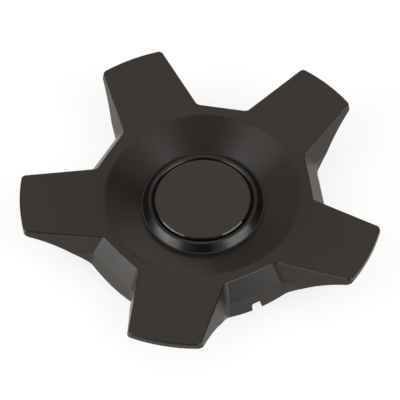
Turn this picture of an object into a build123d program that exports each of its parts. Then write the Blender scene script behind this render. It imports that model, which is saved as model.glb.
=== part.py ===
from build123d import *
import os
from math import cos, hypot, radians, sin, tan

# A five-armed wheel centre cap, in millimetres.
# Z is the wheel's axis and points away from the wheel, and one arm points along +Y.
# The origin is on the axis, in the plane where the cap's seat ring meets the wheel.

# Face of the star: a shallow cone that rises towards the tips, with a dish in its middle
arm_count = 5
tip_radius = 80.4  # axis to the top edge of an arm's tip
hub_flat = 48.0  # axis to the top edge of the wall between two arms
rim_land = 4.3  # face between that edge and the rim of the dish
rim_height = 17.7  # seat plane to the rim of the dish
face_slope = 11.2  # degrees
dish_slope = 26.9  # degrees
shell = 2.5  # wall of the face and the dish
edge_round = 0.6  # rounding of the face's outer edge
rim_round = 3.0  # rounding between the face and the dish
tip_round = 2.2  # rounding of a tip's corners in plan
root_round = 3.0  # rounding between an arm and the hub in plan

# Skirt: walls that lean outwards from the face's edge, steeper below the parting line
arm_side = 21.15  # axis to the line of an arm's side wall, level with the hub's top edges
arm_taper = 3.25  # degrees that each side wall turns in towards the tip
hub_draft = 33.0  # degrees, above the parting line
arm_draft = 14.7  # degrees, above the parting line
hub_lower_draft = 11.6  # degrees, below the parting line
arm_lower_draft = 5.0  # degrees, below the parting line
tip_draft = 7.0  # degrees
parting_height = 10.0  # seat plane to the parting line
skirt_wall = 2.2
skirt_gap = 0.45  # seat plane to the skirt's lowest edge, between two arms
tip_edge = 2.9  # height of the skirt at an arm's tip
skirt_bow = 2.5  # rise of the skirt's curved lower edge above its chord
notch_width = 4.6  # slot for a removal tool, in the wall opposite the arm on +Y
notch_height = 4.0
notch_round = 1.2

# Badge and its bezel, seated in the middle of the dish
badge_radius = 21.8
badge_thick = 1.8
badge_bevel = 0.5  # bevel of its edge
badge_proud = 0.15  # badge's face above the bezel's crest
pad_inset = 0.9  # badge's edge beyond the pad that it is bonded to
groove_width = 1.15  # dark groove round the badge
groove_depth = 2.7
groove_round = 0.25  # rounding of its outer edge
bevel_width = 1.45  # groove to the bezel's crest
bevel_drop = 0.38
crest_height = 2.79  # crest above the dish
crest_round = 0.35
flank_width = 2.9  # crest to the bezel's foot
foot_land = 0.5  # flat at the foot
bezel_rim = 1.2  # depth of the bezel's rim in its recess
bezel_fit = 0.15  # clearance round that rim
hook_count = 6  # hooks that hold the bezel in the cover
hook_radius = 18.6
hook_wall = 1.6
hook_width = 6.0
hook_barb = 1.1
hook_lead = 2.6  # height of a barb's sloping end
hook_fit = 0.2  # clearance of a hook in its hole
barb_fit = 0.1  # clearance under a barb

# Underside: ring of snap fingers, seat ring round it and ribs to the hub's walls
floor_margin = 1.4  # thick floor of the dish beyond the bezel
finger_count = 10
bore_radius = 33.3  # wheel's centre bore
bore_fit = 0.3  # clearance of the fingers in that bore
finger_wall = 2.0
finger_reach = 8.0  # fingers below the seat plane
finger_slot = 5.0
slot_height = 4.0  # top of the slots above the seat plane
barb_step = 1.1
barb_top = 1.6  # barb's holding edge below the seat plane
barb_slope = 1.2
barb_land = 0.8
finger_tip = 1.3  # wall at a finger's end
seat_space = 2.6  # fingers to the seat ring
seat_wall = 2.4
rib_wall = 1.8
rib_spacing = 18.0  # between the two ribs behind each wall
rib_height = 3.0  # lower edge of the ribs above the seat plane

# Spring ring of round wire behind the fingers
wire_radius = 0.8
wire_bed = 0.6  # depth of the wire's bed in the fingers
wire_fit = 0.1
wire_drop = 3.6  # wire's centre below the seat plane
wire_gap = 14.0  # degrees between its ends

# Heights and radii that follow from the sizes above
face_rise = tan(radians(face_slope))
dish_rise = tan(radians(dish_slope))
rim_radius = hub_flat - rim_land
tip_height = rim_height + (tip_radius - rim_radius) * face_rise
wall_top = rim_height + (hub_flat - rim_radius) * face_rise
arm_spacing = 360 / arm_count
gap_angle = 90 + arm_spacing / 2
gap_spread = radians(arm_spacing / 2 + arm_taper)
groove_outer = badge_radius + groove_width
crest_radius = groove_outer + bevel_width
foot_radius = crest_radius + flank_width
bezel_radius = foot_radius + foot_land
recess_radius = bezel_radius + bezel_fit
dish_height = rim_height - (rim_radius - bezel_radius) * dish_rise
seat_height = dish_height - bezel_rim
floor_under = seat_height - shell
floor_radius = bezel_radius + floor_margin
dish_drop = shell / cos(radians(dish_slope))
face_drop = shell / cos(radians(face_slope))
bend_radius = rim_radius + (dish_drop - face_drop) / (dish_rise - face_rise)
crest_top = dish_height + crest_height
badge_top = crest_top + badge_proud
badge_under = badge_top - badge_thick
groove_top = crest_top - bevel_drop
pad_radius = badge_radius - pad_inset
hook_hole = hypot(hook_radius, hook_width / 2) + hook_fit
finger_outer = bore_radius - bore_fit
finger_inner = finger_outer - finger_wall
wire_ring = finger_inner + wire_bed - wire_radius
seat_inner = finger_outer + seat_space
seat_outer = seat_inner + seat_wall
clear = 5.0  # how far a cutting shape passes what it cuts


def dish_at(radius):
    """Height of the dish at a radius."""
    return rim_height - (rim_radius - radius) * dish_rise


def face_at(radius):
    """Height of the star's face at a radius."""
    return rim_height + (radius - rim_radius) * face_rise


def wall_shift(height, upper_draft, lower_draft):
    """How far a skirt wall stands outside its top edge at a height."""
    upper = wall_top - max(height, parting_height)
    lower = max(parting_height - height, 0)
    return upper * tan(radians(upper_draft)) + lower * tan(radians(lower_draft))


def star_section(height, wall=0.0):
    """Horizontal section of the star at a height, with its walls moved in by a wall."""
    flat = hub_flat + wall_shift(height, hub_draft, hub_lower_draft) - wall
    side = arm_side + wall_shift(height, arm_draft, arm_lower_draft) - wall
    tip = tip_radius + (tip_height - height) * tan(radians(tip_draft)) - wall
    corner = (flat * sin(gap_spread) - side) / cos(gap_spread)
    mouth_x = flat + tip * cos(gap_spread)
    mouth_y = corner + tip * sin(gap_spread)
    gap = [(flat, -corner), (mouth_x, -mouth_y), (mouth_x, mouth_y), (flat, corner)]
    halfway = (hypot(flat, corner) + tip) / 2
    with BuildSketch(Plane.XY.offset(height)) as section:
        Circle(tip)
        with PolarLocations(0, arm_count, start_angle=gap_angle):
            Polygon(*gap, align=None, mode=Mode.SUBTRACT)
        tips = section.vertices().filter_by(lambda v: hypot(v.X, v.Y) > halfway)
        fillet(tips, tip_round)
        roots = section.vertices().filter_by(lambda v: hypot(v.X, v.Y) < halfway)
        fillet(roots, root_round + wall)
    return section.sketch


# Star cover's outside: drafted star sections, cut to the turned face and the curved lower edge
hub_foot = hub_flat + wall_shift(skirt_gap, hub_draft, hub_lower_draft)
tip_foot = tip_height - tip_edge
reach = tip_radius + clear

with BuildPart() as star_form:
    for low, high in ((-clear, parting_height), (parting_height, tip_height + clear)):
        loft(sections=[star_section(low), star_section(high)], ruled=True)
    with BuildSketch(Plane.XZ) as turned_face:
        with BuildLine():
            Polyline(
                (hub_foot, skirt_gap),
                (0, skirt_gap),
                (0, seat_height),
                (recess_radius, seat_height),
                (recess_radius, dish_at(recess_radius)),
                (rim_radius, rim_height),
                (reach, face_at(reach)),
                (reach, tip_foot),
                (tip_radius, tip_foot),
            )
            SagittaArc((tip_radius, tip_foot), (hub_foot, skirt_gap), -skirt_bow)
        make_face()
        fillet(turned_face.vertices().sort_by_distance((rim_radius, rim_height))[0], rim_round)
    revolve(axis=Axis.Z, mode=Mode.INTERSECT)
    face = star_form.faces().filter_by(GeomType.CONE).sort_by(SortBy.AREA)[-1]
    fillet(face.outer_wire().edges(), edge_round)

# Hollow under the face: what the mould's core fills, with slots left for the ribs
with BuildPart() as core:
    for low, high in ((-clear, parting_height), (parting_height, tip_height)):
        loft(sections=[star_section(low, skirt_wall), star_section(high, skirt_wall)], ruled=True)
    with BuildSketch(Plane.XZ):
        with BuildLine():
            Polyline(
                (0, -clear),
                (reach, -clear),
                (reach, face_at(reach) - face_drop),
                (bend_radius, face_at(bend_radius) - face_drop),
                (floor_radius, dish_at(floor_radius) - dish_drop),
                (floor_radius, floor_under),
                (0, floor_under),
                close=True,
            )
        make_face()
    revolve(axis=Axis.Z, mode=Mode.INTERSECT)
    with BuildSketch(Plane.XY.offset(rib_height)):
        with PolarLocations(seat_inner + tip_radius / 2, arm_count, start_angle=gap_angle):
            with GridLocations(0, rib_spacing, 1, 2):
                Rectangle(tip_radius, rib_wall)
    extrude(amount=tip_height, mode=Mode.SUBTRACT)

# Ring of snap fingers, with a bed for the spring ring
with BuildPart() as fingers:
    with BuildSketch(Plane.XZ):
        with BuildLine():
            Polyline(
                (finger_inner, dish_at(finger_inner) - shell / 2),
                (finger_outer, dish_at(finger_outer) - shell / 2),
                (finger_outer, -barb_top),
                (finger_outer + barb_step, -barb_top - barb_slope),
                (finger_outer + barb_step, -barb_top - barb_slope - barb_land),
                (finger_inner + finger_tip, -finger_reach),
                (finger_inner, -finger_reach),
                close=True,
            )
        make_face()
    revolve(axis=Axis.Z)
    with BuildSketch(Plane.XZ):
        with Locations((wire_ring, -wire_drop)):
            Circle(wire_radius + wire_fit)
    revolve(axis=Axis.Z, mode=Mode.SUBTRACT)
    with BuildSketch(Plane.XY.offset(slot_height)):
        with PolarLocations(finger_outer, finger_count, start_angle=gap_angle):
            Rectangle(2 * clear, finger_slot)
    extrude(amount=-slot_height - finger_reach - clear, mode=Mode.SUBTRACT)

# Star cover: one moulding of the shell, its ribs, the seat ring and the snap fingers
with BuildPart() as star_cover:
    add(star_form.part)
    add(core.part, mode=Mode.SUBTRACT)
    with BuildSketch(Plane.XZ):
        with BuildLine():
            Polyline(
                (seat_inner, 0),
                (seat_outer, 0),
                (seat_outer, dish_at(seat_outer) - shell / 2),
                (seat_inner, dish_at(seat_inner) - shell / 2),
                close=True,
            )
        make_face()
    revolve(axis=Axis.Z)
    add(fingers.part)
    with Locations((0, 0, seat_height)):
        Hole(hook_hole)
    with BuildSketch(Plane.XZ.offset(hub_flat)):
        with Locations((0, skirt_gap)):
            Rectangle(notch_width, 2 * notch_height)
        fillet(vertices().group_by(Axis.Y)[-1], notch_round)
    extrude(amount=tip_radius - hub_flat, mode=Mode.SUBTRACT)
star_cover.part.label = "star_cover"

# One hook of the bezel, on +X: a leg through the floor of the dish with a barb under it
with BuildPart() as hook:
    with BuildSketch(Plane.XZ):
        with BuildLine():
            Polyline(
                (hook_radius - hook_wall, seat_height),
                (hook_radius, seat_height),
                (hook_radius, floor_under - barb_fit),
                (hook_radius + hook_barb, floor_under - barb_fit),
                (hook_radius, floor_under - barb_fit - hook_lead),
                (hook_radius - hook_wall, floor_under - barb_fit - hook_lead),
                close=True,
            )
        make_face()
    extrude(amount=hook_width / 2, both=True)

# Bezel: a turned ring with a bevelled crest, a flat foot, a groove and a pad for the badge
with BuildPart() as badge_bezel:
    with BuildSketch(Plane.XZ) as bezel_profile:
        with BuildLine():
            Polyline(
                (0, seat_height),
                (bezel_radius, seat_height),
                (bezel_radius, dish_height),
                (foot_radius, dish_height),
                (crest_radius, crest_top),
                (groove_outer, groove_top),
                (groove_outer, groove_top - groove_depth),
                (pad_radius, groove_top - groove_depth),
                (pad_radius, badge_under),
                (0, badge_under),
                close=True,
            )
        make_face()
        fillet(bezel_profile.vertices().group_by(Axis.Y)[-1], crest_round)
        fillet(bezel_profile.vertices().sort_by_distance((groove_outer, groove_top))[0], groove_round)
    revolve(axis=Axis.Z)
    with PolarLocations(0, hook_count):
        add(hook.part)
badge_bezel.part.label = "badge_bezel"

# Badge: a flat disc with a bevelled edge, bonded to the bezel's pad, its face left bare
with BuildPart() as badge_disc:
    with BuildSketch(Plane.XY.offset(badge_under)):
        Circle(badge_radius)
    extrude(amount=badge_thick)
    chamfer(badge_disc.faces().sort_by(Axis.Z)[-1].edges(), badge_bevel)
badge_disc.part.label = "badge_disc"

# Spring ring: open ring of round wire in the fingers' bed
with BuildPart() as spring_ring:
    with BuildSketch(Plane.XZ):
        with Locations((wire_ring, -wire_drop)):
            Circle(wire_radius)
    revolve(axis=Axis.Z, revolution_arc=360 - wire_gap)
spring_ring.part.label = "spring_ring"

os.makedirs("parts", exist_ok=True)
for piece in (star_cover, badge_bezel, badge_disc, spring_ring):
    export_step(piece.part, f"parts/{piece.part.label}.step")
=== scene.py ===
from math import cos, pi, radians, sin, tan

import bpy
from mathutils import Matrix, Vector


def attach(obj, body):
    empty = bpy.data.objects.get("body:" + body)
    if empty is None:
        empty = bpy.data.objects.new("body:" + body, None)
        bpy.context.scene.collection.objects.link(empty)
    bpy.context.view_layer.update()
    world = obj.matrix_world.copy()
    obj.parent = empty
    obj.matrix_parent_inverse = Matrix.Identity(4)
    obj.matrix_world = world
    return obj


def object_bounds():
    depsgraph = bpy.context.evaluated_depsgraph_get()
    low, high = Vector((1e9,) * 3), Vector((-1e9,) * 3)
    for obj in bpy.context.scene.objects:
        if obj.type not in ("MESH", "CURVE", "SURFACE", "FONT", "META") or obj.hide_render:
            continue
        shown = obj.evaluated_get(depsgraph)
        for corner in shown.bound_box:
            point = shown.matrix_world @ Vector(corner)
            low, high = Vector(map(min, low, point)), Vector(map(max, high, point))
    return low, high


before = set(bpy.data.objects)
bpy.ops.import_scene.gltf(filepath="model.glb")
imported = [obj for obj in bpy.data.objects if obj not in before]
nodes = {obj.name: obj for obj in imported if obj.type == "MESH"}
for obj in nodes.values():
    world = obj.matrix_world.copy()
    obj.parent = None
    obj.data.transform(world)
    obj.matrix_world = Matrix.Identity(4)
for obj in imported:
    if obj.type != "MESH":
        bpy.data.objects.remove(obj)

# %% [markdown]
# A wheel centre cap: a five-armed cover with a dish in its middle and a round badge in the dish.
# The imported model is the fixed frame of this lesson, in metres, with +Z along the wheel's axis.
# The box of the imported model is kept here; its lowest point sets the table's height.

MM = 0.001
cad_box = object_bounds()
print("frame:", sorted(nodes), "box", [tuple(round(v / MM, 1) for v in c) for c in cad_box])

# %% [markdown]
# The camera looks down on the cap from the front, with a long lens, a little rolled.
# Its place was worked out from the edges of the star in the photograph: how high it stands,
# how far the cap is turned under it, and how far away it is. The lens is given for a square image.

# %% Camera
view_height = radians(55.22)
view_turn = radians(-22.15)
view_roll = radians(-3.27)
view_distance = 516.42 * MM
view_offset = Vector((0.99, 4.58)) * MM
aim_height = 19.0 * MM
lens_length = 104.49

turn = Matrix.Rotation(view_turn, 3, "Z")
view_back = turn @ Vector((0, -cos(view_height), sin(view_height)))
level_right = turn @ Vector((1, 0, 0))
level_up = view_back.cross(level_right)
view_right = cos(view_roll) * level_right + sin(view_roll) * level_up
view_up = cos(view_roll) * level_up - sin(view_roll) * level_right
eye = Vector((0, 0, aim_height)) + view_distance * view_back
eye -= view_offset.x * view_right + view_offset.y * view_up

bpy.ops.object.select_all(action="DESELECT")
bpy.ops.object.camera_add(location=eye)
camera = bpy.context.object
camera.name = "photo_camera"
camera.rotation_euler = Matrix((view_right, view_up, view_back)).transposed().to_euler()
camera.data.lens = lens_length
bpy.context.scene.camera = camera
print("camera at", [round(v / MM, 1) for v in eye], "mm")

# %% [markdown]
# Materials are trees of nodes, so three small helpers keep the later cells short.
# The first adds a node and sets its options, the second joins outputs to inputs,
# and the third starts a material with the usual shader.

# %% Node helpers


def add_node(tree, kind, **options):
    """Adds a shader node and sets its options."""
    node = tree.nodes.new("ShaderNode" + kind)
    for option, value in options.items():
        setattr(node, option, value)
    return node


def join(tree, *pairs):
    """Joins each pair of sockets."""
    for source, target in pairs:
        tree.links.new(source, target)


def new_finish(name):
    """A new material and its shader."""
    finish = bpy.data.materials.new(name)
    finish.use_nodes = True
    return finish, finish.node_tree.nodes["Principled BSDF"]


# %% [markdown]
# The table is a white sheet under the cap. A dark part on a bright sheet is the usual way to
# photograph black plastic, because the sheet also brightens the lower walls, which mirror it.
# One wide plane is enough, at the height of the cap's lowest point.

# %% Table
table_width = 6.0
floor_height = cad_box[0].z
bpy.ops.object.select_all(action="DESELECT")
bpy.ops.mesh.primitive_plane_add(size=table_width, location=(0, 0, floor_height))
table = bpy.context.object
table.name = "table"
print("table at", round(floor_height / MM, 2), "mm")

# %% [markdown]
# The table and the room have to look white, but the light on the cap should come from the lamps and
# from what the sheet throws back. The Light Path node tells the rays apart: this helper picks out those
# that show the background, straight or in a mirror.

# %% Background rays


def background_rays(tree):
    """A value of 1 for rays from the camera and for mirrored and refracted rays, and 0 for the rest."""
    path = add_node(tree, "LightPath")
    first = add_node(tree, "Math", operation="MAXIMUM")
    second = add_node(tree, "Math", operation="MAXIMUM")
    join(
        tree,
        (path.outputs["Is Camera Ray"], first.inputs[0]),
        (path.outputs["Is Glossy Ray"], first.inputs[1]),
        (first.outputs[0], second.inputs[0]),
        (path.outputs["Is Transmission Ray"], second.inputs[1]),
    )
    return second.outputs[0]


# %% [markdown]
# The sheet glows for those rays, and half as much for matt ones, as a white sheet throws light back.
# Its matt part takes the lamps' light and the shadow, so the glow is a little weaker near the cap.
# Mirrored in the cap the sheet is painted a little dimmer and warmer, as painted shade for the cap's own
# shadow on it.
# Seen from below, it is clear.

# %% Table paint
near_reach = 120 * MM
far_reach = 500 * MM
near_glow = 0.75
far_glow = 1.0
bounce_share = 0.5
matt_grey = (0.3, 0.3, 0.3, 1)
# painted shade: the sheet's colour in the cap's mirror, dimmer and warmer than the camera sees it
mirrored_shade_tone = (0.72, 0.69, 0.66, 1)
plain_white = (1, 1, 1, 1)

table_paint = bpy.data.materials.new("table_paint")
table_paint.use_nodes = True
table_paint.cycles.emission_sampling = "NONE"
tree = table_paint.node_tree
tree.nodes.clear()
spot = add_node(tree, "TexCoord")
reach = add_node(tree, "VectorMath", operation="LENGTH")
spread = add_node(tree, "MapRange", interpolation_type="SMOOTHSTEP")
spread.inputs["From Min"].default_value = near_reach
spread.inputs["From Max"].default_value = far_reach
spread.inputs["To Min"].default_value = near_glow
spread.inputs["To Max"].default_value = far_glow
ray = add_node(tree, "LightPath")
bounce = add_node(tree, "Math", operation="MULTIPLY")
bounce.inputs[1].default_value = bounce_share
reached = add_node(tree, "Math", operation="MAXIMUM")
seen = add_node(tree, "Math", operation="MULTIPLY")
matt = add_node(tree, "BsdfDiffuse")
matt.inputs["Color"].default_value = matt_grey
tone = add_node(tree, "Mix", data_type="RGBA")
tone.inputs["A"].default_value = mirrored_shade_tone
tone.inputs["B"].default_value = plain_white
glow = add_node(tree, "Emission")
sheet = add_node(tree, "AddShader")
clear = add_node(tree, "BsdfTransparent")
side = add_node(tree, "NewGeometry")
choose = add_node(tree, "MixShader")
out = add_node(tree, "OutputMaterial")
join(
    tree,
    (spot.outputs["Object"], reach.inputs[0]),
    (reach.outputs["Value"], spread.inputs["Value"]),
    (spread.outputs["Result"], seen.inputs[0]),
    (ray.outputs["Is Diffuse Ray"], bounce.inputs[0]),
    (bounce.outputs[0], reached.inputs[0]),
    (background_rays(tree), reached.inputs[1]),
    (reached.outputs[0], seen.inputs[1]),
    (seen.outputs[0], glow.inputs["Strength"]),
    (ray.outputs["Is Camera Ray"], tone.inputs["Factor"]),
    (tone.outputs["Result"], glow.inputs["Color"]),
    (matt.outputs["BSDF"], sheet.inputs[0]),
    (glow.outputs["Emission"], sheet.inputs[1]),
    (side.outputs["Backfacing"], choose.inputs["Fac"]),
    (sheet.outputs["Shader"], choose.inputs[1]),
    (clear.outputs["BSDF"], choose.inputs[2]),
    (choose.outputs["Shader"], out.inputs["Surface"]),
)
table.data.materials.append(table_paint)
print("table paint:", len(tree.nodes), "nodes")

# %% [markdown]
# The room behind the table is white. It is white for the camera and for mirrored rays alike,
# so a picture from any side has a pale background.

# %% Room
world = bpy.data.worlds.new("white_room")
bpy.context.scene.world = world
world.use_nodes = True
world.cycles.sampling_method = "NONE"
tree = world.node_tree
wall = tree.nodes["Background"]
wall.inputs["Color"].default_value = plain_white
join(tree, (background_rays(tree), wall.inputs["Strength"]))
bpy.context.scene.view_settings.view_transform = "Standard"
print("room:", world.name)

# %% [markdown]
# Black plastic shows little colour of its own: what the eye sees is the room mirrored in it.
# So the photographer hangs a black tent over the table and places soft lamps inside it.
# The tent is a ball, cut off at the table. The camera looks through it, and the cap mirrors it.

# %% Tent
tent_radius = 1.8
velvet_black = (0.005, 0.005, 0.005, 1)
bpy.ops.object.select_all(action="DESELECT")
bpy.ops.mesh.primitive_uv_sphere_add(segments=48, ring_count=24, radius=tent_radius)
tent = bpy.context.object
tent.name = "black_tent"
bpy.ops.object.mode_set(mode="EDIT")
bpy.ops.mesh.select_all(action="SELECT")
bpy.ops.mesh.bisect(plane_co=(0, 0, floor_height), plane_no=(0, 0, 1), clear_inner=True)
bpy.ops.mesh.select_all(action="SELECT")
bpy.ops.mesh.flip_normals()
bpy.ops.object.mode_set(mode="OBJECT")
tent.visible_camera = False
velvet, shader = new_finish("tent_velvet")
shader.inputs["Base Color"].default_value = velvet_black
shader.inputs["Roughness"].default_value = 1.0
shader.inputs["Specular IOR Level"].default_value = 0.0
tent.data.materials.append(velvet)
print("tent:", len(tent.data.polygons), "faces")

# %% [markdown]
# Each lamp is a soft box that faces the cap. It is placed by its compass angle, as seen by the camera
# with the camera at -90 degrees, and by its height, and it is sized by the angle that it fills.
# Its brightness is that of its cloth, so a large lamp gives more light than a small one.

# %% Lamp helper
LAMP_DISTANCE = 1.0


def soft_lamp(name, azimuth, elevation, half_width, half_height, brightness, tint):
    """A rectangular soft lamp that faces the cap. Its four angles are in degrees."""
    compass = radians(azimuth) + view_turn
    height = radians(elevation)
    away = Vector((cos(compass) * cos(height), sin(compass) * cos(height), sin(height)))
    bpy.ops.object.select_all(action="DESELECT")
    bpy.ops.object.light_add(type="AREA", location=LAMP_DISTANCE * away)
    lamp = bpy.context.object
    lamp.name = name
    lamp.rotation_euler = away.to_track_quat("Z", "Y").to_euler()
    lamp.visible_camera = False
    lamp.data.shape = "RECTANGLE"
    lamp.data.size = 2 * LAMP_DISTANCE * tan(radians(half_width))
    lamp.data.size_y = 2 * LAMP_DISTANCE * tan(radians(half_height))
    lamp.data.energy = brightness * pi * lamp.data.size * lamp.data.size_y
    lamp.data.color = tint
    print("lamp %s: %.2f x %.2f m, %.1f W" % (name, lamp.data.size, lamp.data.size_y, lamp.data.energy))


# %% [markdown]
# Two banks of lamps stand at the sides, a little towards the camera. They make the bright patches
# on the slopes of the bezel, on the two sides of the dish and on the walls that face them.
# Large dim cloths behind the cap and over it give the flat tops their even, warm dark grey.

# %% Lamps
WHITE = (1.0, 0.99, 0.98)
WARM = (1.0, 0.91, 0.84)
# The numbers are azimuth, elevation, half width and half height in degrees, and brightness.
soft_lamp("left_low", 206, 8, 14, 8, 7.0, WHITE)
soft_lamp("left_middle", 195, 24, 11, 8, 4.9, WHITE)
soft_lamp("left_near", 217, 24, 11, 8, 3.45, WHITE)
soft_lamp("left_high", 206, 48, 14, 16, 2.25, WHITE)
soft_lamp("left_side", 176, 30, 10, 26, 1.37, WHITE)
soft_lamp("left_front", 243, 34, 10, 14, 0.2, WHITE)
soft_lamp("right_low", -38, 8, 14, 8, 3.5, WHITE)
soft_lamp("right_middle", -33, 24, 20, 8, 3.95, WHITE)
soft_lamp("right_high", -38, 48, 14, 16, 3.7, WHITE)
soft_lamp("right_side", 6, 38, 14, 22, 0.34, WHITE)
soft_lamp("right_front", -65, 22, 11, 20, 0.45, WHITE)
soft_lamp("back_left_low", 118, 10, 26, 10, 0.25, WARM)
soft_lamp("back_left", 118, 43, 28, 23, 0.47, WARM)
soft_lamp("back_right_low", 72, 10.5, 19, 11.5, 0.7, WARM)
soft_lamp("back_right", 68, 43.5, 22, 22.5, 0.45, WARM)
soft_lamp("top", 90, 77, 31, 13, 0.82, WARM)
soft_lamp("top_front", -90, 81, 28, 9, 0.28, WHITE)

# %% [markdown]
# An effect that a finish can set to its own values is a node group, built once and placed where it is
# needed. One helper makes an empty group and one places it. Two more are for the nodes inside: a noise
# whose size is a length in metres, and the distance from the wheel's axis.

# %% Group helpers


def new_group(name, inputs, outputs):
    """An empty shader node group with named number sockets, and its two end nodes."""
    group = bpy.data.node_groups.new(name, "ShaderNodeTree")
    for label, value in inputs.items():
        socket = group.interface.new_socket(label, in_out="INPUT", socket_type="NodeSocketFloat")
        socket.default_value = value
    for label in outputs:
        group.interface.new_socket(label, in_out="OUTPUT", socket_type="NodeSocketFloat")
    return group, group.nodes.new("NodeGroupInput"), group.nodes.new("NodeGroupOutput")


def place_group(tree, group, **values):
    """Puts a group into a material with its own values."""
    node = add_node(tree, "Group", node_tree=group)
    for label, value in values.items():
        node.inputs[label].default_value = value
    return node


def sized_noise(group, size, detail):
    """A noise on Object coordinates, with its size in metres from a socket."""
    spot = add_node(group, "TexCoord")
    rate = add_node(group, "Math", operation="DIVIDE")
    rate.inputs[0].default_value = 1.0
    noise = add_node(group, "TexNoise")
    noise.inputs["Detail"].default_value = detail
    join(
        group,
        (size, rate.inputs[1]),
        (spot.outputs["Object"], noise.inputs["Vector"]),
        (rate.outputs[0], noise.inputs["Scale"]),
    )
    return noise.outputs[0]


def axis_distance(tree, place):
    """The distance from the wheel's axis: the length of the coordinates with Z set to 0."""
    flat = add_node(tree, "VectorMath", operation="MULTIPLY")
    flat.inputs[1].default_value = (1, 1, 0)
    radius = add_node(tree, "VectorMath", operation="LENGTH")
    join(
        tree,
        (place, flat.inputs[0]),
        (flat.outputs["Vector"], radius.inputs[0]),
    )
    return radius.outputs["Value"]


# %% [markdown]
# The first effect is fine grain: the tiny pits that a mould leaves in plastic, or the peel of a lacquer.
# A noise with little detail gives it.

# %% Fine grain group
fine_grain, ends_in, ends_out = new_group("fine_grain", {"Size": 0.2 * MM}, ["Height"])
pits = sized_noise(fine_grain, ends_in.outputs["Size"], detail=1.0)
join(fine_grain, (pits, ends_out.inputs["Height"]))
print("group:", fine_grain.name)

# %% [markdown]
# The second is a slow mottle: no moulded or sprayed surface has quite the same colour and gloss all over.
# It is a cloudier noise, spread so that it fills the range from 0 to 1.

# %% Slow mottle group
cloud_low = 0.3
cloud_high = 0.7
slow_mottle, ends_in, ends_out = new_group("slow_mottle", {"Size": 20 * MM}, ["Shade"])
cloud = sized_noise(slow_mottle, ends_in.outputs["Size"], detail=3.0)
fill = add_node(slow_mottle, "MapRange")
fill.inputs["From Min"].default_value = cloud_low
fill.inputs["From Max"].default_value = cloud_high
join(
    slow_mottle,
    (cloud, fill.inputs["Value"]),
    (fill.outputs["Result"], ends_out.inputs["Shade"]),
)
print("group:", slow_mottle.name)

# %% [markdown]
# The third is a ring: a mask that is 1 between two radii round the wheel's axis, with soft ends.
# One smooth step rises at the inner radius, another falls at the outer one, and they are multiplied.

# %% Ring mask group
ring_mask, ends_in, ends_out = new_group(
    "ring_mask", {"Inner": 20 * MM, "Outer": 30 * MM, "Blur": 0.1 * MM}, ["Mask"]
)
spot = add_node(ring_mask, "TexCoord")
radius = axis_distance(ring_mask, spot.outputs["Object"])
rise_end = add_node(ring_mask, "Math", operation="ADD")
fall_end = add_node(ring_mask, "Math", operation="ADD")
rise = add_node(ring_mask, "MapRange", interpolation_type="SMOOTHSTEP")
fall = add_node(ring_mask, "MapRange", interpolation_type="SMOOTHSTEP")
fall.inputs["To Min"].default_value = 1.0
fall.inputs["To Max"].default_value = 0.0
both = add_node(ring_mask, "Math", operation="MULTIPLY")
join(
    ring_mask,
    (ends_in.outputs["Inner"], rise_end.inputs[0]),
    (ends_in.outputs["Blur"], rise_end.inputs[1]),
    (ends_in.outputs["Outer"], fall_end.inputs[0]),
    (ends_in.outputs["Blur"], fall_end.inputs[1]),
    (radius, rise.inputs["Value"]),
    (ends_in.outputs["Inner"], rise.inputs["From Min"]),
    (rise_end.outputs[0], rise.inputs["From Max"]),
    (radius, fall.inputs["Value"]),
    (ends_in.outputs["Outer"], fall.inputs["From Min"]),
    (fall_end.outputs[0], fall.inputs["From Max"]),
    (rise.outputs["Result"], both.inputs[0]),
    (fall.outputs["Result"], both.inputs[1]),
    (both.outputs[0], ends_out.inputs["Mask"]),
)
print("group:", ring_mask.name)

# %% [markdown]
# The three plastic finishes are built alike, so one helper makes them: the mottle blends two near
# colours and two near roughness values, and the grain goes through a Bump node to the shader's Normal.
# A second helper blends another colour and roughness into a part of a finish, and a third puts
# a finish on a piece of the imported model.

# %% Finish helpers
GRAIN_STRENGTH = 0.3
SHEENS_PER_MOTTLE = 3


def plastic(name, colour, colour_shift, roughness, mottle_size, grain_size, grain_depth):
    """A plastic with a mottled colour, a mottled roughness between two values, and a grain."""
    finish, shader = new_finish(name)
    tree = finish.node_tree
    mottle = place_group(tree, slow_mottle, Size=mottle_size)
    sheen = place_group(tree, slow_mottle, Size=mottle_size / SHEENS_PER_MOTTLE)
    grain = place_group(tree, fine_grain, Size=grain_size)
    shade = add_node(tree, "Mix", data_type="RGBA")
    shade.inputs["A"].default_value = (*[c * (1 - colour_shift) for c in colour], 1)
    shade.inputs["B"].default_value = (*[c * (1 + colour_shift) for c in colour], 1)
    rough = add_node(tree, "MapRange")
    rough.inputs["To Min"].default_value = roughness[0]
    rough.inputs["To Max"].default_value = roughness[1]
    bump = add_node(tree, "Bump")
    bump.inputs["Strength"].default_value = GRAIN_STRENGTH
    bump.inputs["Distance"].default_value = grain_depth
    join(
        tree,
        (mottle.outputs["Shade"], shade.inputs["Factor"]),
        (sheen.outputs["Shade"], rough.inputs["Value"]),
        (grain.outputs["Height"], bump.inputs["Height"]),
        (shade.outputs["Result"], shader.inputs["Base Color"]),
        (rough.outputs["Result"], shader.inputs["Roughness"]),
        (bump.outputs["Normal"], shader.inputs["Normal"]),
    )
    return finish


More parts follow.
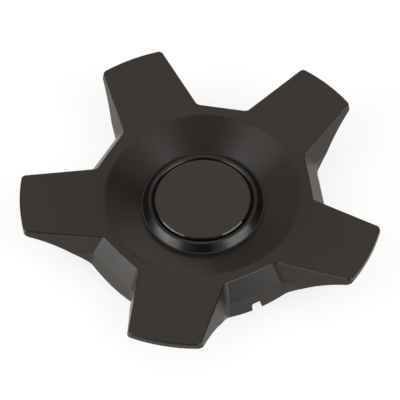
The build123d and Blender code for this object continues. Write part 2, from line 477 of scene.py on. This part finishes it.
def blend_in(finish, mask, colour, roughness):
    """Blends another colour and roughness into a finish where the mask is 1."""
    tree = finish.node_tree
    shader = tree.nodes["Principled BSDF"]
    tint = add_node(tree, "Mix", data_type="RGBA")
    tint.inputs["B"].default_value = (*colour, 1)
    dull = add_node(tree, "Mix")
    dull.inputs["B"].default_value = roughness
    join(
        tree,
        (mask, tint.inputs["Factor"]),
        (mask, dull.inputs["Factor"]),
        (shader.inputs["Base Color"].links[0].from_socket, tint.inputs["A"]),
        (shader.inputs["Roughness"].links[0].from_socket, dull.inputs["A"]),
        (tint.outputs["Result"], shader.inputs["Base Color"]),
        (dull.outputs["Result"], shader.inputs["Roughness"]),
    )


def dress(piece, finish):
    """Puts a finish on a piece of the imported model."""
    nodes[piece].material_slots[0].material = finish
    print(piece, "has", finish.name)


# %% [markdown]
# The cover is moulded in black plastic with a satin coat on its outside. The coat is a warm black.
# The inside is bare plastic, duller and greyer, and its colour is also lightened as painted light, since
# the underside gets little light.
# All outer walls lean back a little, so that the mould opens, and so only upright faces and those that
# look down belong to the inside.
# The Normal of the Geometry node says which way a face looks.

# %% Satin coat
SATIN_BLACK = (0.0105, 0.0078, 0.0061)
# partly painted light: bare plastic is greyer, and this colour is lightened further for the dim underside
bare_and_lightened_black = (0.03, 0.029, 0.028)
bare_rough = 0.45
coated_above = 0.07
bare_below = 0.03

satin = plastic(
    "satin_coat",
    SATIN_BLACK,
    colour_shift=0.07,
    roughness=(0.262, 0.278),
    mottle_size=30 * MM,
    grain_size=0.4 * MM,
    grain_depth=0.0025 * MM,
)
tree = satin.node_tree
facing = add_node(tree, "NewGeometry")
lift = add_node(tree, "SeparateXYZ")
bare_and_lightened = add_node(tree, "MapRange", interpolation_type="SMOOTHSTEP")
bare_and_lightened.inputs["From Min"].default_value = coated_above
bare_and_lightened.inputs["From Max"].default_value = bare_below
join(
    tree,
    (facing.outputs["Normal"], lift.inputs["Vector"]),
    (lift.outputs["Z"], bare_and_lightened.inputs["Value"]),
)
blend_in(satin, bare_and_lightened.outputs["Result"], bare_and_lightened_black, bare_rough)
dress("star_cover", satin)

# %% [markdown]
# The bezel is a glossier ring of the same plastic, pressed into the dish. Its slopes mirror the lamps.
# The groove between it and the badge is rough, and its colour is painted shade, near black, as the deep
# gap lies in shadow;
# the ring mask makes that part matt black.

# %% Gloss bezel
gloss_black = (0.0044, 0.004, 0.0037)
groove_inner = 20.5 * MM
groove_outer = 22.55 * MM
groove_blur = 0.1 * MM
groove_painted_shade = (0.0006, 0.0006, 0.0006)
groove_rough = 0.6

gloss = plastic(
    "gloss_ring",
    gloss_black,
    colour_shift=0.1,
    roughness=(0.23, 0.25),
    mottle_size=9 * MM,
    grain_size=1.2 * MM,
    grain_depth=0.002 * MM,
)
# painted shade: the ring mask darkens the groove to near black
groove = place_group(gloss.node_tree, ring_mask, Inner=groove_inner, Outer=groove_outer, Blur=groove_blur)
blend_in(gloss, groove.outputs["Mask"], groove_painted_shade, groove_rough)
dress("badge_bezel", gloss)

# %% [markdown]
# The bezel's inner edge, where it drops into the groove, is bevelled, and the far side of that bevel shows
# two fine glints. It is a narrow cone without ends, turned to look inwards, and given a thickness by
# a Solidify modifier, so that it is a closed ring that lies in the bezel's corner.

# %% Groove edge
edge_low = 22.66 * MM
edge_high = 23.04 * MM
edge_foot = 11.69 * MM
edge_rise = edge_high - edge_low
edge_thickness = 0.3 * MM
edge_sides = 240
sharp_angle = radians(30)

bpy.ops.object.select_all(action="DESELECT")
bpy.ops.mesh.primitive_cone_add(
    vertices=edge_sides,
    radius1=edge_low,
    radius2=edge_high,
    depth=edge_rise,
    end_fill_type="NOTHING",
    location=(0, 0, edge_foot + edge_rise / 2),
)
groove_edge = bpy.context.object
groove_edge.name = "groove_edge"
bpy.ops.object.transform_apply(location=True, rotation=False, scale=False)
bpy.ops.object.mode_set(mode="EDIT")
bpy.ops.mesh.select_all(action="SELECT")
bpy.ops.mesh.flip_normals()
bpy.ops.object.mode_set(mode="OBJECT")
bpy.ops.object.modifier_add(type="SOLIDIFY")
groove_edge.modifiers["Solidify"].thickness = edge_thickness
groove_edge.modifiers["Solidify"].offset = -1.0
bpy.ops.object.modifier_apply(modifier="Solidify")
bpy.ops.object.shade_smooth_by_angle(angle=sharp_angle)
groove_edge.data.materials.append(gloss)
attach(groove_edge, "root")
print("groove_edge:", len(groove_edge.data.polygons), "faces")

# %% [markdown]
# The badge is a flat disc under a clear lacquer, which is why its bevelled edge has the sharpest glints.
# The lacquer has a very slight peel, like all sprayed coats.

# %% Badge lacquer
lacquer = plastic(
    "badge_lacquer",
    SATIN_BLACK,
    colour_shift=0.08,
    roughness=(0.09, 0.11),
    mottle_size=14 * MM,
    grain_size=1.5 * MM,
    grain_depth=0.002 * MM,
)
dress("badge_disc", lacquer)

# %% [markdown]
# The spring ring underneath is drawn steel wire. Drawing leaves fine lines along the wire.
# The wire runs round the axis, so the pattern is quick across the radius and the height, and slow
# round the circle: those three values, from the Object coordinates, are the noise's own coordinates.

# %% Drawn steel
line_rate = 9000.0
radian_length = 4 * MM
dark_steel = (0.42, 0.42, 0.43, 1)
pale_steel = (0.62, 0.62, 0.63, 1)
steel_rough = (0.24, 0.4)
line_strength = 0.2
line_depth = 0.01 * MM

steel, shader = new_finish("drawn_steel")
tree = steel.node_tree
shader.inputs["Metallic"].default_value = 1.0
spot = add_node(tree, "TexCoord")
split = add_node(tree, "SeparateXYZ")
angle = add_node(tree, "Math", operation="ARCTAN2")
slow = add_node(tree, "Math", operation="MULTIPLY")
slow.inputs[1].default_value = radian_length
along = add_node(tree, "CombineXYZ")
lines = add_node(tree, "TexNoise")
lines.inputs["Scale"].default_value = line_rate
lines.inputs["Detail"].default_value = 2.0
tone = add_node(tree, "Mix", data_type="RGBA")
tone.inputs["A"].default_value = dark_steel
tone.inputs["B"].default_value = pale_steel
rough = add_node(tree, "MapRange")
rough.inputs["To Min"].default_value = steel_rough[0]
rough.inputs["To Max"].default_value = steel_rough[1]
bump = add_node(tree, "Bump")
bump.inputs["Strength"].default_value = line_strength
bump.inputs["Distance"].default_value = line_depth
join(
    tree,
    (spot.outputs["Object"], split.inputs["Vector"]),
    (split.outputs["Y"], angle.inputs[0]),
    (split.outputs["X"], angle.inputs[1]),
    (angle.outputs[0], slow.inputs[0]),
    (axis_distance(tree, spot.outputs["Object"]), along.inputs["X"]),
    (split.outputs["Z"], along.inputs["Y"]),
    (slow.outputs[0], along.inputs["Z"]),
    (along.outputs["Vector"], lines.inputs["Vector"]),
    (lines.outputs[0], tone.inputs["Factor"]),
    (lines.outputs[0], rough.inputs["Value"]),
    (lines.outputs[0], bump.inputs["Height"]),
    (tone.outputs["Result"], shader.inputs["Base Color"]),
    (rough.outputs["Result"], shader.inputs["Roughness"]),
    (bump.outputs["Normal"], shader.inputs["Normal"]),
)
dress("spring_ring", steel)
